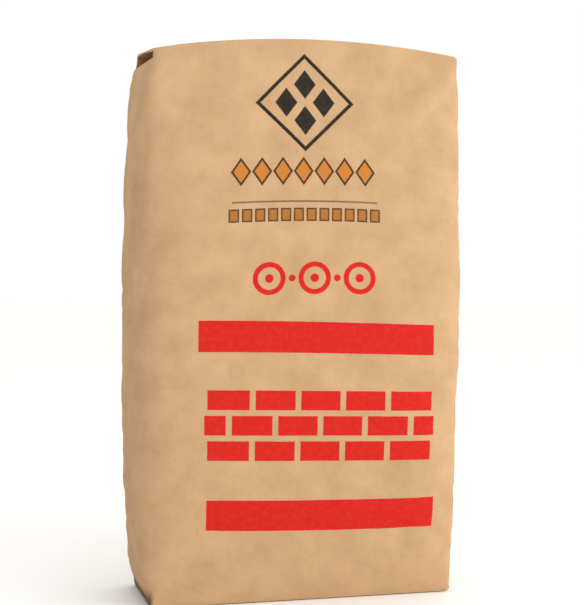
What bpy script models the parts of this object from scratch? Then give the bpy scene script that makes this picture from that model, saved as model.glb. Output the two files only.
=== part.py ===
"""A filled 50 kg cement sack of kraft paper, standing on its bottom end.

The sack is a paper tube whose two ends are opened, folded in and pasted flat, so that it fills out to a
block: nearly a box at each end, crowned in between. Metres, +Z up, +X across the printed front, which
faces -Y. The origin is the middle of the footprint, on the floor.
"""

import math

import bmesh
import bpy
from mathutils import Matrix, Vector

# Driving dimensions of the filled sack
HEIGHT = 0.660
END_WIDTH = 0.374
END_DEPTH = 0.120
MID_WIDTH = 0.408
MID_DEPTH = 0.160

# The top end is highest a little right of the middle, and droops over the filling mouth
TOP_CROWN = 0.0156
CROWN_CENTRE = 0.019
MOUTH_DROOP = 0.001

# How the ends turn into the swollen middle
SWELL_POWER = 0.7
FOLD_RADIUS = 0.008
END_CORNER_RADIUS = 0.009
MID_CORNER_RADIUS = 0.055
FRONT_CROWN = 0.006
SIDE_CROWN = 0.012

# The left side is tucked in where it folds under the ends
TUCK = 0.006
TUCK_REACH = 0.055
LEFT_END = -END_WIDTH / 2 + TUCK

# Paper: three plies, more where the ends overlap, and the running gap between pieces
WALL = 0.0006
PATCH = 0.0004
GAP = 0.0003

# The strips pasted over the folded ends
PATCH_MARGIN = 0.010
PATCH_FAR_MARGIN = 0.014
PATCH_MOUTH_MARGIN = 0.026

# The filling mouth, a slot along the top of the left side, and the pressed-in corner below it
MOUTH_REACH = 0.020
MOUTH_LIP = 0.0007
MOUTH_OVERCUT = 0.006
MOUTH_FALL = 0.73
MOUTH_HALF_LENGTH = 0.051
BOTTOM_CHAMFER = 0.013

# The paper sleeve that runs in from the mouth, pressed flat by the cement
SLEEVE_LENGTH = 0.120
SLEEVE_WIDTH = 0.096
SLEEVE_THICKNESS = 0.0026
SLEEVE_WALL = 0.0006
SLEEVE_SLOPE = math.radians(6)
SLEEVE_SHOWS = 0.013
SLEEVE_DROP = 0.0070

# Fineness of the mesh
CORNER_STEPS = 6
WIDE_STEPS = 10
NARROW_STEPS = 4
FOLD_STEPS = 3
HEIGHT_STEPS = 14
END_RINGS = (0.4, 0.75, 0.93)

# Where the sack's own paper starts and stops, between the two pasted strips
SKIN = PATCH + GAP
BASE = SKIN
TOP = HEIGHT - SKIN


def clear_scene():
    for obj in list(bpy.data.objects):
        bpy.data.objects.remove(obj, do_unlink=True)


def linear(channel):
    """One sRGB channel, 0 to 255, as the linear value that a shader takes."""
    share = channel / 255
    return share / 12.92 if share <= 0.04045 else ((share + 0.055) / 1.055) ** 2.4


def add_material(name, srgb, roughness):
    material = bpy.data.materials.new(name)
    material.use_nodes = True
    shader = material.node_tree.nodes["Principled BSDF"]
    shader.inputs["Base Color"].default_value = (*[linear(c) for c in srgb], 1)
    shader.inputs["Roughness"].default_value = roughness
    shader.inputs["Metallic"].default_value = 0
    return material


def add_object(name, bm, material=None):
    """Turns a bmesh into a named object, shaded smooth except at its folds."""
    mesh = bpy.data.meshes.new(name)
    bm.to_mesh(mesh)
    bm.free()
    mesh.shade_smooth()
    mesh.set_sharp_from_angle(angle=math.radians(40))
    obj = bpy.data.objects.new(name, mesh)
    bpy.context.scene.collection.objects.link(obj)
    if material:
        mesh.materials.append(material)
    else:
        obj.hide_render = True
        obj.display_type = "WIRE"
    return obj


def combine(obj, tool, operation):
    modifier = obj.modifiers.new(operation.title(), "BOOLEAN")
    modifier.operation = operation
    modifier.solver = "EXACT"
    modifier.object = tool


def round_rectangle(half_x, half_y, radius):
    """Points of a rectangle with round corners, anticlockwise from its +X side."""
    points = []
    for corner in range(4):
        turn = corner * math.pi / 2
        sign_x = 1 if corner in (0, 3) else -1
        sign_y = 1 if corner in (0, 1) else -1
        centre = Vector((sign_x * (half_x - radius), sign_y * (half_y - radius)))
        for step in range(CORNER_STEPS + 1):
            angle = turn + step / CORNER_STEPS * math.pi / 2
            points.append(centre + radius * Vector((math.cos(angle), math.sin(angle))))
        run = WIDE_STEPS if corner in (0, 2) else NARROW_STEPS
        next_x, next_y = (-sign_x, sign_y) if corner in (0, 2) else (sign_x, -sign_y)
        if corner in (0, 2):
            goal = Vector((next_x * (half_x - radius), next_y * half_y))
        else:
            goal = Vector((next_x * half_x, next_y * (half_y - radius)))
        start = points[-1]
        points += [start.lerp(goal, step / run) for step in range(1, run)]
    return points


def tuck(height):
    """How far the left side is drawn in at a height: most at both ends, fading out over the reach."""
    from_end = min(height, HEIGHT - height) / TUCK_REACH
    fade = min(max(1 - from_end, 0), 1)
    return TUCK * fade * fade * (3 - 2 * fade)


def section(share, height, inset):
    """The sack's outline at a share of its height, drawn in by inset, with its faces crowned."""
    share = min(max(share, 0), 1)
    swell = math.sin(math.pi * share) ** SWELL_POWER
    side_crown = SIDE_CROWN * swell
    front_crown = FRONT_CROWN * swell
    half_x = (END_WIDTH + (MID_WIDTH - END_WIDTH) * swell) / 2 - side_crown - inset
    half_y = (END_DEPTH + (MID_DEPTH - END_DEPTH) * swell) / 2 - front_crown - inset
    radius = END_CORNER_RADIUS + (MID_CORNER_RADIUS - END_CORNER_RADIUS) * swell - inset
    left_share = 1 - tuck(height) / (END_WIDTH / 2)
    outline = []
    for point in round_rectangle(half_x, half_y, radius):
        across = side_crown * (1 - (point.y / half_y) ** 2) / half_x
        through = front_crown * (1 - (point.x / half_x) ** 2) / half_y
        x = point.x * (1 + across)
        outline.append(Vector((x if x > 0 else x * left_share, point.y * (1 + through))))
    return outline


def crown_top(x):
    """Height of the sack's top end at x: highest near the middle, lower at both short edges."""
    from_peak = (x - CROWN_CENTRE) / (END_WIDTH / 2)
    past_root = max(LEFT_END + MOUTH_REACH - x, 0) / MOUTH_REACH
    return TOP - TOP_CROWN * from_peak**2 - MOUTH_DROOP * past_root**2


def sack_rings(inset):
    """Rings of the sack from the middle of its bottom end, up its side, to the middle of its top end."""
    low = BASE + inset
    high = TOP - inset
    fold = FOLD_RADIUS - inset
    end = [(scale, fold, 0.0) for scale in END_RINGS]
    turn = [math.pi / 2 * step / FOLD_STEPS for step in range(FOLD_STEPS + 1)]
    folds = [(1.0, fold * (1 - math.sin(a)), fold * (1 - math.cos(a))) for a in turn]
    levels = [(low + lift, scale, drawn) for scale, drawn, lift in end + folds]
    rise = (high - low - 2 * fold) / HEIGHT_STEPS
    levels += [(low + fold + step * rise, 1.0, 0.0) for step in range(1, HEIGHT_STEPS)]
    levels += [(high - lift, scale, drawn) for scale, drawn, lift in reversed(end + folds)]
    rings = []
    for height, scale, drawn in levels:
        share = (height - low - fold) / (high - low - 2 * fold)
        outline = [point * scale for point in section(share, height, inset + drawn)]
        rings.append([Vector((p.x, p.y, level_at(height, p.x, inset))) for p in outline])
    return rings


def level_at(height, x, inset):
    """A level of the sack at x: levels crowd together under the low parts of the top end."""
    low = BASE + inset
    high = TOP - inset
    return low + (height - low) * (crown_top(x) - inset - low) / (high - low)


def trim(bm, point, normal):
    """Cuts off what lies past a plane and closes the cut with one flat face."""
    everything = bm.verts[:] + bm.edges[:] + bm.faces[:]
    cut = bmesh.ops.bisect_plane(bm, geom=everything, plane_co=point, plane_no=normal, clear_outer=True)
    rim = [item for item in cut["geom_cut"] if isinstance(item, bmesh.types.BMEdge)]
    bmesh.ops.edgeloop_fill(bm, edges=rim)


def sack_form(inset, mouth_cut):
    """The closed form of the filled sack, drawn in all round by inset."""
    bm = bmesh.new()
    rings = [[bm.verts.new(point) for point in ring] for ring in sack_rings(inset)]
    count = len(rings[0])
    for lower, upper in zip(rings, rings[1:]):
        for i in range(count):
            j = (i + 1) % count
            bm.faces.new((lower[i], lower[j], upper[j]))
            bm.faces.new((lower[i], upper[j], upper[i]))
    for ring, flip in ((rings[0], True), (rings[-1], False)):
        centre = bm.verts.new((0, 0, BASE + inset if flip else crown_top(0) - inset))
        for i in range(count):
            j = (i + 1) % count
            bm.faces.new((ring[j], ring[i], centre) if flip else (ring[i], ring[j], centre))
    corner = Vector((LEFT_END, 0, BASE + BOTTOM_CHAMFER))
    outward = Vector((-1, 0, -1)).normalized()
    trim(bm, corner - outward * inset, outward)
    if mouth_cut:
        outward = Vector((-1, 0, 1)).normalized()
        trim(bm, mouth_root() - outward * inset, outward)
    bmesh.ops.recalc_face_normals(bm, faces=bm.faces)
    return bm


def mouth_root():
    """The inner end of the filling mouth, just under the top end's paper."""
    x = LEFT_END + MOUTH_REACH
    return Vector((x, 0, crown_top(x) - MOUTH_LIP))


def add_mouth_cutter():
    """The wedge of air at the filling mouth: under the lip, over the folded-in triangle of the side.

    It is open along the left side only, and ends short of the front and the back.
    """
    root = mouth_root()
    out = MOUTH_REACH + MOUTH_OVERCUT
    slope = (crown_top(root.x - MOUTH_REACH) - crown_top(root.x)) / MOUTH_REACH
    over = root + Vector((-out, 0, out * slope))
    under = root + Vector((-out, 0, -out * MOUTH_FALL))
    bm = bmesh.new()
    face = bm.faces.new([bm.verts.new(p - Vector((0, MOUTH_HALF_LENGTH, 0))) for p in (root, over, under)])
    side = bmesh.ops.extrude_face_region(bm, geom=[face])
    moved = [item for item in side["geom"] if isinstance(item, bmesh.types.BMVert)]
    bmesh.ops.translate(bm, verts=moved, vec=(0, 2 * MOUTH_HALF_LENGTH, 0))
    bmesh.ops.recalc_face_normals(bm, faces=bm.faces)
    return add_object("mouth_cutter", bm)


def sleeve_surface(grow, capped):
    """The flattened tube of the sleeve, made bigger by grow all round; open at its ends unless capped."""
    radius = SLEEVE_THICKNESS / 2 + grow
    half_flat = (SLEEVE_WIDTH - SLEEVE_THICKNESS) / 2
    outline = []
    for side in (1, -1):
        for step in range(CORNER_STEPS + 1):
            angle = side * math.pi / 2 - side * math.pi * step / CORNER_STEPS
            y = side * half_flat + side * radius * math.cos(angle)
            outline.append(Vector((-grow, y, radius * math.sin(angle))))
    bm = bmesh.new()
    face = bm.faces.new([bm.verts.new(point) for point in outline])
    side = bmesh.ops.extrude_face_region(bm, geom=[face])
    moved = [item for item in side["geom"] if isinstance(item, bmesh.types.BMVert)]
    bmesh.ops.translate(bm, verts=moved, vec=(SLEEVE_LENGTH + 2 * grow, 0, 0))
    bmesh.ops.recalc_face_normals(bm, faces=bm.faces)
    if not capped:
        ends = [f for f in bm.faces if abs(f.normal.x) > 0.9]
        bmesh.ops.delete(bm, geom=ends, context="FACES")
    start = mouth_root() - Vector((SLEEVE_SHOWS, 0, SLEEVE_DROP))
    place = Matrix.Translation(start) @ Matrix.Rotation(-SLEEVE_SLOPE, 4, "Y")
    bmesh.ops.transform(bm, matrix=place, verts=bm.verts)
    return bm


def add_window(name, low, high):
    """A box between two corners, used to trim a strip to its outline."""
    bm = bmesh.new()
    middle = (Vector(low) + Vector(high)) / 2
    size = Vector(high) - Vector(low)
    place = Matrix.Translation(middle) @ Matrix.Diagonal((*size, 1))
    bmesh.ops.create_cube(bm, size=1, matrix=place)
    return add_object(name, bm)


def add_sack_body(paper):
    """The paper sack: one folded and pasted tube, hollow, open at the filling mouth."""
    sack = add_object("sack_body", sack_form(0, False), paper)
    combine(sack, add_object("sack_hollow", sack_form(WALL, True)), "DIFFERENCE")
    combine(sack, add_mouth_cutter(), "DIFFERENCE")
    combine(sack, add_object("sleeve_slot", sleeve_surface(GAP, True)), "DIFFERENCE")
    return sack


def add_cement_fill(cement):
    """The cement: it fills the sack all round the sleeve."""
    fill = add_object("cement_fill", sack_form(WALL + GAP, True), cement)
    combine(fill, add_object("sleeve_space", sleeve_surface(2 * GAP, True)), "DIFFERENCE")
    return fill


def add_cover_patches(paper):
    """The strip pasted over each folded end, following the end's own shape."""
    under = add_object("patch_bed", sack_form(-GAP, False))
    left = LEFT_END + PATCH_MOUTH_MARGIN
    right = END_WIDTH / 2 - PATCH_FAR_MARGIN
    reach = END_DEPTH / 2 - PATCH_MARGIN
    half_height = HEIGHT / 2
    for name, low, high in (
        ("bottom_cover_patch", -half_height, half_height),
        ("top_cover_patch", half_height, 2 * HEIGHT),
    ):
        patch = add_object(name, sack_form(-GAP - PATCH, False), paper)
        combine(patch, under, "DIFFERENCE")
        window = add_window(name + "_outline", (left, -reach, low), (right, reach, high))
        combine(patch, window, "INTERSECT")


def add_valve_sleeve(paper):
    sleeve = add_object("valve_sleeve", sleeve_surface(0, False), paper)
    wall = sleeve.modifiers.new("Wall", "SOLIDIFY")
    wall.thickness = SLEEVE_WALL
    wall.offset = -1
    wall.use_even_offset = True


def main():
    clear_scene()
    kraft = add_material("kraft_paper", (208, 170, 127), 0.85)
    patch_paper = add_material("patch_paper", (201, 162, 118), 0.85)
    cement = add_material("grey_cement", (138, 137, 132), 0.95)
    add_sack_body(kraft)
    add_cement_fill(cement)
    add_cover_patches(patch_paper)
    add_valve_sleeve(patch_paper)


main()
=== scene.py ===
# %% [markdown]
# # A filled paper cement sack
# The sack is a tube of kraft paper. Its two ends are opened, folded in and pasted flat, and it is filled
# through a small mouth at one top corner. Full, it stands like a block with crowned faces.
# This script dresses the measured model: it builds the paper, blows it up with a cloth simulation the way
# cement fills it, folds and pastes the ends, prints the front, and lights it all softly.
# Lengths are in metres where the paper is modelled, and in millimetres on the paper where it is printed.

# %% The measured model
import math

import bmesh
import bpy
import numpy as np
from mathutils import Matrix, Vector, noise


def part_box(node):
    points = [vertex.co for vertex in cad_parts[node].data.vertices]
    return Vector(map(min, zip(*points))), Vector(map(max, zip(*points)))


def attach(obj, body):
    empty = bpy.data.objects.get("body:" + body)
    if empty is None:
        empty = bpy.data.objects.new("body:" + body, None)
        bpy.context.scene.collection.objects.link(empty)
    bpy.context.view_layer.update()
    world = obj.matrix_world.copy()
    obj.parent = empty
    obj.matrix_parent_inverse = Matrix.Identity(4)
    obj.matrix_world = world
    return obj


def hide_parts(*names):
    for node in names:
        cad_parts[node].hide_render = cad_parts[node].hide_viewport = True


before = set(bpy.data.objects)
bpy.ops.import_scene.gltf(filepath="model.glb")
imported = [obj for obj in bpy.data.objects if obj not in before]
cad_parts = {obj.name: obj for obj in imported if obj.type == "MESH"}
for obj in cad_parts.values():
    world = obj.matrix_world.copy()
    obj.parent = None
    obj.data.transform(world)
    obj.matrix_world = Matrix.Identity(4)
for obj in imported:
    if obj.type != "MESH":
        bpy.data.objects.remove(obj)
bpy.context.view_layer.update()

# %% [markdown]
# ## The camera
# It stands a little to the left of the sack and 1.7 m away, at about two thirds of its height. That near, the
# left edge looks taller than the right one, and a strip of the left side shows. Its turn, height and lens
# were worked out from the sack's outline in a picture 584 pixels wide and 605 high.

# %% Camera
IMAGE_HEIGHT = 605
CAMERA_DISTANCE = 1.70
CAMERA_TURN = math.radians(15.41)
CAMERA_HEIGHT = 0.4224
CAMERA_ROLL = math.radians(0.59)
CAMERA_AIM = Vector((0.0007, 0, 0.3499))
FOCAL_PIXELS = 1400.6
SENSOR_MM = 36

eye = Vector((-math.sin(CAMERA_TURN), -math.cos(CAMERA_TURN), 0)) * CAMERA_DISTANCE
eye.z = CAMERA_HEIGHT
camera_data = bpy.data.cameras.new("camera")
camera_data.sensor_width = SENSOR_MM
camera_data.lens = FOCAL_PIXELS * SENSOR_MM / IMAGE_HEIGHT
camera = bpy.data.objects.new("camera", camera_data)
bpy.context.scene.collection.objects.link(camera)
look = (CAMERA_AIM - eye).to_track_quat("-Z", "Y").to_matrix().to_4x4()
camera.matrix_world = Matrix.Translation(eye) @ look @ Matrix.Rotation(CAMERA_ROLL, 4, "Z")
bpy.context.scene.camera = camera
print("camera lens", round(camera_data.lens, 1), "mm, eye at", [round(c, 3) for c in eye])

# %% [markdown]
# ## Small helpers
# Modelling here goes through the same operators as by hand, so each step first selects what it works on.
# These helpers pick an object, or the faces of the mesh in edit mode that a rule chooses.

# %% Selection helpers
def only(obj):
    """Makes obj the one selected and active object."""
    bpy.ops.object.select_all(action="DESELECT")
    obj.select_set(True)
    bpy.context.view_layer.objects.active = obj


def pick(obj, rule, kind="faces"):
    """In edit mode, selects just the faces, edges or vertices that the rule takes."""
    mode = {"faces": "FACE", "edges": "EDGE", "verts": "VERT"}[kind]
    bpy.ops.mesh.select_mode(type=mode)
    bpy.ops.mesh.select_all(action="DESELECT")
    bm = bmesh.from_edit_mesh(obj.data)
    for item in getattr(bm, kind):
        if rule(item):
            item.select_set(True)
    bm.select_flush(True)
    bmesh.update_edit_mesh(obj.data)


def settle(obj):
    """Puts an object's place into its mesh, so that the object itself sits at the origin."""
    only(obj)
    bpy.ops.object.transform_apply(location=True, rotation=True, scale=True)


def add_box(name, middle, size):
    """Adds a box of this size round a point, and settles it."""
    bpy.ops.object.select_all(action="DESELECT")
    bpy.ops.mesh.primitive_cube_add(size=1, location=middle)
    box = bpy.context.object
    box.name = name
    box.scale = size
    settle(box)
    return box


def positions(obj):
    """The vertices of obj as an array, one row each."""
    flat = np.empty(len(obj.data.vertices) * 3)
    obj.data.vertices.foreach_get("co", flat)
    return flat.reshape(-1, 3)


def move_to(obj, points):
    """Moves the vertices of obj to these points."""
    obj.data.vertices.foreach_set("co", np.asarray(points, float).ravel())
    obj.data.update()


# %% [markdown]
# ## The empty sack as a block
# A pasted sack is a box of paper once its ends are folded: as wide and deep as its end faces, and as tall as
# the tube between its folds. It starts as a cube of that size, cut all over into squares of about 7 mm,
# so that the paper has somewhere to bend. The left side is tucked in near both ends, where its fold lies
# under the others, and the top end is a little higher in the middle. The lip, its strip over the filling
# mouth, is lifted towards the back.

# %% The block of paper
SACK_LOW, SACK_HIGH = [np.array(corner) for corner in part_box("sack_body")]
SACK_TOP = SACK_HIGH[2]
SACK_HEIGHT = SACK_HIGH[2] - SACK_LOW[2]
END_WIDTH = 0.374
END_DEPTH = 0.120
SQUARE = 0.0072
TUCK = 0.006
TUCK_REACH = 0.055
LEFT_END = -END_WIDTH / 2 + TUCK
RIGHT_END = END_WIDTH / 2
TOP_CROWN = 0.0156
CROWN_CENTRE = 0.019
MOUTH_REACH = 0.020
LIP_DROOP = 0.0004
LIP_LIFT = 0.0072


def cut_in_slices(obj, counts):
    """Cuts a box along each axis into this many equal slices."""
    low, high = positions(obj).min(axis=0), positions(obj).max(axis=0)
    only(obj)
    bpy.ops.object.mode_set(mode="EDIT")
    for axis, slices in enumerate(counts):
        normal = [0, 0, 0]
        normal[axis] = 1
        for step in range(1, slices):
            at = [0, 0, 0]
            at[axis] = low[axis] + (high[axis] - low[axis]) * step / slices
            bpy.ops.mesh.select_all(action="SELECT")
            bpy.ops.mesh.bisect(plane_co=at, plane_no=normal)
    bpy.ops.object.mode_set(mode="OBJECT")


def smooth_step(share):
    """Rises softly from 0 to 1 as the share does."""
    share = np.clip(share, 0, 1)
    return share * share * (3 - 2 * share)


def crown_drop(x, y):
    """How far the top end lies under its highest point."""
    past_root = np.clip(LEFT_END + MOUTH_REACH - x, 0, None) / MOUTH_REACH
    lip = LIP_DROOP - LIP_LIFT * (y / END_DEPTH + 0.5)
    return TOP_CROWN * ((x - CROWN_CENTRE) / (END_WIDTH / 2)) ** 2 + lip * past_root


block_size = (END_WIDTH, END_DEPTH, SACK_HEIGHT)
sack = add_box("sack_paper", (0, 0, SACK_LOW[2] + SACK_HEIGHT / 2), block_size)
cut_in_slices(sack, [round(length / SQUARE) for length in block_size])

flat = positions(sack)
from_low = flat[:, 2] - SACK_LOW[2]
from_end = np.minimum(from_low, SACK_HEIGHT - from_low)
tucked = TUCK * smooth_step(1 - from_end / TUCK_REACH) / (END_WIDTH / 2)
shaped = flat.copy()
shaped[:, 0] *= np.where(flat[:, 0] < 0, 1 - tucked, 1)
shaped[:, 2] -= crown_drop(shaped[:, 0], shaped[:, 1]) * from_low / SACK_HEIGHT
print("block of paper", len(sack.data.polygons), "squares")

# %% [markdown]
# ## Paper coordinates
# Print and paper grain have to follow the paper when it bulges. So before the filling, while the sack is
# still a block, each face gets its place on the unrolled tube: across the front from the middle, on round the
# sides and the back, and up. The ends carry on from the front. This map stays with the faces later.
# The block's own coordinates are kept as well, to say afterwards how far a point is from an edge or an end.

# %% Unrolling the block
def unroll(obj):
    """Gives each corner of each face its place on the flat tube of paper."""
    mesh = obj.data
    paper_map = mesh.uv_layers.new(name="paper")
    points = positions(obj)
    half_wide, half_deep = END_WIDTH / 2, END_DEPTH / 2
    for face in mesh.polygons:
        way = face.normal
        for loop in face.loop_indices:
            x, y, z = points[mesh.loops[loop].vertex_index]
            behind = y + half_deep
            if abs(way.z) > 0.5:
                place = (x, z + behind if way.z > 0 else z - behind)
            elif way.y < -0.5:
                place = (x, z)
            elif way.x > 0.5:
                place = (half_wide + behind, z)
            elif way.x < -0.5:
                place = (-half_wide - behind, z)
            else:
                place = (half_wide + END_DEPTH + half_wide - x, z)
            paper_map.data[loop].uv = place


unroll(sack)
kept = sack.data.attributes.new("block_place", "FLOAT_VECTOR", "POINT")
kept.data.foreach_set("vector", flat.ravel())
print("unrolled", len(sack.data.polygons), "faces")

# %% [markdown]
# ## Filling it
# Cement pours in through the mouth and pushes the paper out all round. The two pasted ends are stiff with
# glued layers, so they keep their size, and the tube between them swells. A cloth simulation does the same:
# the ends are pinned, air pressure stands in for the powder, and two boards keep the wide faces from bulging
# more than a stacked sack does. Paper hardly stretches, so the cloth is given a high tension stiffness.

# %% Filling simulation
FILL_FRAMES = 14
FILL_PRESSURE = 12
BOARD_AT = 0.080
BOARD_SIZE = (0.6, 0.02, 0.9)
BOARD_SKIN = 0.001
MOST_SWELL = 0.024
SWELL_POWER = 0.7
ON_FOLD = 1e-4


def add_board(side):
    """A board just outside one wide face of the sack."""
    board = add_box("board", (0, side * (BOARD_AT + BOARD_SIZE[1] / 2), SACK_HEIGHT / 2), BOARD_SIZE)
    board.modifiers.new("Collision", "COLLISION")
    board.collision.thickness_outer = BOARD_SKIN
    return board


def blow_up(piece):
    """Runs the filling simulation on the piece and applies it."""
    boards = [add_board(side) for side in (-1, 1)]
    only(piece)
    pinned = piece.vertex_groups.new(name="pasted ends")
    pinned.add([int(index) for index in np.flatnonzero(from_end < ON_FOLD)], 1, "REPLACE")
    cloth = piece.modifiers.new("Cloth", "CLOTH")
    paper = cloth.settings
    paper.quality = 5
    paper.mass = 0.3
    paper.tension_stiffness = 60
    paper.compression_stiffness = 60
    paper.shear_stiffness = 30
    paper.bending_stiffness = 8
    paper.tension_damping = 15
    paper.compression_damping = 15
    paper.shear_damping = 15
    paper.use_pressure = True
    paper.uniform_pressure_force = FILL_PRESSURE
    paper.vertex_group_mass = "pasted ends"
    paper.effector_weights.gravity = 0
    cloth.collision_settings.distance_min = BOARD_SKIN
    cloth.point_cache.frame_end = FILL_FRAMES
    for step in range(1, FILL_FRAMES + 1):
        bpy.context.scene.frame_set(step)
    only(piece)
    bpy.ops.object.modifier_apply(modifier="Cloth")
    bpy.context.scene.frame_set(1)
    piece.vertex_groups.clear()
    for board in boards:
        bpy.data.objects.remove(board)


move_to(sack, shaped)
share_up = from_low / SACK_HEIGHT
swell = np.sin(np.pi * np.clip(share_up, 0, 1)) ** SWELL_POWER
blow_up(sack)
filled = shaped + np.clip(positions(sack) - shaped, -MOST_SWELL, MOST_SWELL)
move_to(sack, filled)
moved = np.linalg.norm(filled - shaped, axis=1)
print("filling moved the paper by at most", round(moved.max() * 1000, 1), "mm")

# %% [markdown]
# The swelling of the simulated tube is then matched to the sizes measured in the picture, height by height,
# so that its outline is the same and the dents and folds of the simulation stay. Its four upright corners are
# smoothed first, and its sections, which come out rounder than the real ones, are made squarer. The camera
# looks past the sack at an angle, so what it sees as the outline is how far a section reaches in the
# direction across its view.

# %% Fitting the swell
CORNER_PASSES = 6
CORNER_FROM = (0.150, 0.035)
SOFT_LOW, SOFT_HIGH = SACK_LOW[2] + 0.012, SACK_TOP - 0.030
SIMULATED_SQUARENESS = 4
SQUARENESS = 6.0
MID_DEPTH = 0.160
COS_TURN, SIN_TURN = math.cos(CAMERA_TURN), math.sin(CAMERA_TURN)
FOLD_ROUNDING = 0.0004
SEEN_END = END_WIDTH / 2 * COS_TURN + END_DEPTH / 2 * SIN_TURN - FOLD_ROUNDING
SEEN_MIDDLE = {-1: 0.2032, 1: 0.2040}


def on_upright_corner(vertex):
    """True near the tube's four upright corners, clear of its stiff ends."""
    x, y, z = vertex.co
    return abs(x) > CORNER_FROM[0] and abs(y) > CORNER_FROM[1] and SOFT_LOW < z < SOFT_HIGH


def squared_radius(relative, power):
    """How far each point is out on a squared circle. The power says how square that is, and 2 is round."""
    return (relative**power).sum(axis=1) ** (1 / power)


only(sack)
bpy.ops.object.mode_set(mode="EDIT")
pick(sack, on_upright_corner, "verts")
bpy.ops.mesh.vertices_smooth(factor=0.5, repeat=CORNER_PASSES)
bpy.ops.object.mode_set(mode="OBJECT")
filled = positions(sack)
relative = np.abs(filled[:, :2]) / (SEEN_MIDDLE[1], MID_DEPTH / 2)
squarer = squared_radius(relative, SIMULATED_SQUARENESS) / squared_radius(relative, SQUARENESS)
filled[:, :2] *= (1 + (squarer - 1) * swell**2)[:, None]
levels = np.round(share_up, 5)
fitted = filled.copy()
for level in np.unique(levels):
    ring = levels == level
    if not (ring & (from_end > ON_FOLD)).any():
        continue
    grown = math.sin(math.pi * min(max(level, 0), 1)) ** SWELL_POWER
    for side in (-1, 1):
        half = ring & (np.sign(filled[:, 1]) == side)
        deep = (END_DEPTH + (MID_DEPTH - END_DEPTH) * grown) / 2
        fitted[half, 1] *= deep / abs(filled[half, 1]).max()
    for side in (-1, 1):
        half = ring & (np.sign(filled[:, 0]) == side)
        seen = abs(fitted[half, 0]) * COS_TURN + abs(fitted[half, 1]) * SIN_TURN
        widest = seen.argmax()
        wanted = SEEN_END + (SEEN_MIDDLE[side] - SEEN_END) * grown
        tuck = TUCK * smooth_step(1 - min(level, 1 - level) * SACK_HEIGHT / TUCK_REACH) if side < 0 else 0
        goal = (wanted - abs(fitted[half, 1])[widest] * SIN_TURN) / COS_TURN - tuck
        fitted[half, 0] *= goal / abs(fitted[half, 0])[widest]
move_to(sack, fitted)
low, high = positions(sack).min(axis=0), positions(sack).max(axis=0)
print("filled sack from", low.round(4), "to", high.round(4))

# %% [markdown]
# The folds round both ends are creased, so that the subdivision that follows keeps them crisp. They are the
# edges with an end face on one side only.

# %% Crisp end folds
FOLD_CREASE = 0.7
FACES_END = 0.8
only(sack)
bpy.ops.object.mode_set(mode="EDIT")
bpy.ops.mesh.select_mode(type="EDGE")
bpy.ops.mesh.select_all(action="DESELECT")
folds = bmesh.from_edit_mesh(sack.data)
for edge in folds.edges:
    ends = [abs(face.normal.z) > FACES_END for face in edge.link_faces]
    if ends.count(True) == 1:
        edge.select_set(True)
bmesh.update_edit_mesh(sack.data)
print("creased", len([edge for edge in folds.edges if edge.select]), "edges")
bpy.ops.transform.edge_crease(value=FOLD_CREASE)
bpy.ops.object.mode_set(mode="OBJECT")

# %% [markdown]
# ## The cement inside
# The powder takes the sack's own shape, just inside the paper. A copy of the filled sack, drawn in a little
# along its normals, is exactly that. It is drawn in further than the deepest dent of the paper, which comes
# later. Its upper left corner is cut off at 45 degrees, because the filling mouth takes that room.

# %% Powder
POWDER_INSET = 0.0056
POWDER_UNDER_MOUTH = 0.003
MOUTH_LIP = 0.0016
UP_LEFT = Vector((-1, 0, 1)).normalized()


def copy_of(obj, name):
    """A copy of obj with a mesh of its own."""
    made = obj.copy()
    made.data = obj.data.copy()
    made.name = made.data.name = name
    bpy.context.scene.collection.objects.link(made)
    return made


def normals_of(obj):
    """The normal at each vertex of obj as an array, one row each."""
    flat_normals = np.empty(len(obj.data.vertices) * 3)
    obj.data.vertices.foreach_get("normal", flat_normals)
    return flat_normals.reshape(-1, 3)


def cut_corner(obj, point, way):
    """Cuts off what lies beyond a plane and closes the cut."""
    only(obj)
    bpy.ops.object.mode_set(mode="EDIT")
    bpy.ops.mesh.select_all(action="SELECT")
    bpy.ops.mesh.bisect(plane_co=point, plane_no=way, use_fill=True, clear_outer=True)
    bpy.ops.object.mode_set(mode="OBJECT")


mouth_root = Vector((LEFT_END + MOUTH_REACH, 0, 0))
mouth_root.z = SACK_TOP - crown_drop(mouth_root.x, 0) - MOUTH_LIP
powder = copy_of(sack, "cement_powder")
move_to(powder, positions(powder) - normals_of(powder) * POWDER_INSET)
cut_corner(powder, mouth_root - UP_LEFT * POWDER_UNDER_MOUTH, UP_LEFT)
only(powder)
bpy.ops.object.shade_smooth_by_angle(angle=math.radians(50))
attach(powder, "root")
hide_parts("cement_fill")
print("powder has", len(powder.data.polygons), "faces")

# %% [markdown]
# ## Creases and dents
# Paper doesn't stretch, so wherever it has been pushed it keeps straight creases between nearly flat patches.
# One subdivision gives enough points, 3.6 mm apart. Then each point moves a little along its normal:
# single creases that start near the folded ends and the sides, wide soft dents, and a net of shallow valleys
# that lean the way the sack was carried. All of them fade out at the ends, which are stiff, and the dents and
# valleys are fainter on the middle of the front. Noise alone would look like cloth or clay: it is the
# straight single creases that make it paper.

# %% Single creases
CREASE_WANDER, CREASE_WAVES = 0.004, 60
CREASE_FADE = 3.5
GENTLE_SIDE, STEEP_SIDE = 0.010, 0.004
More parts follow.
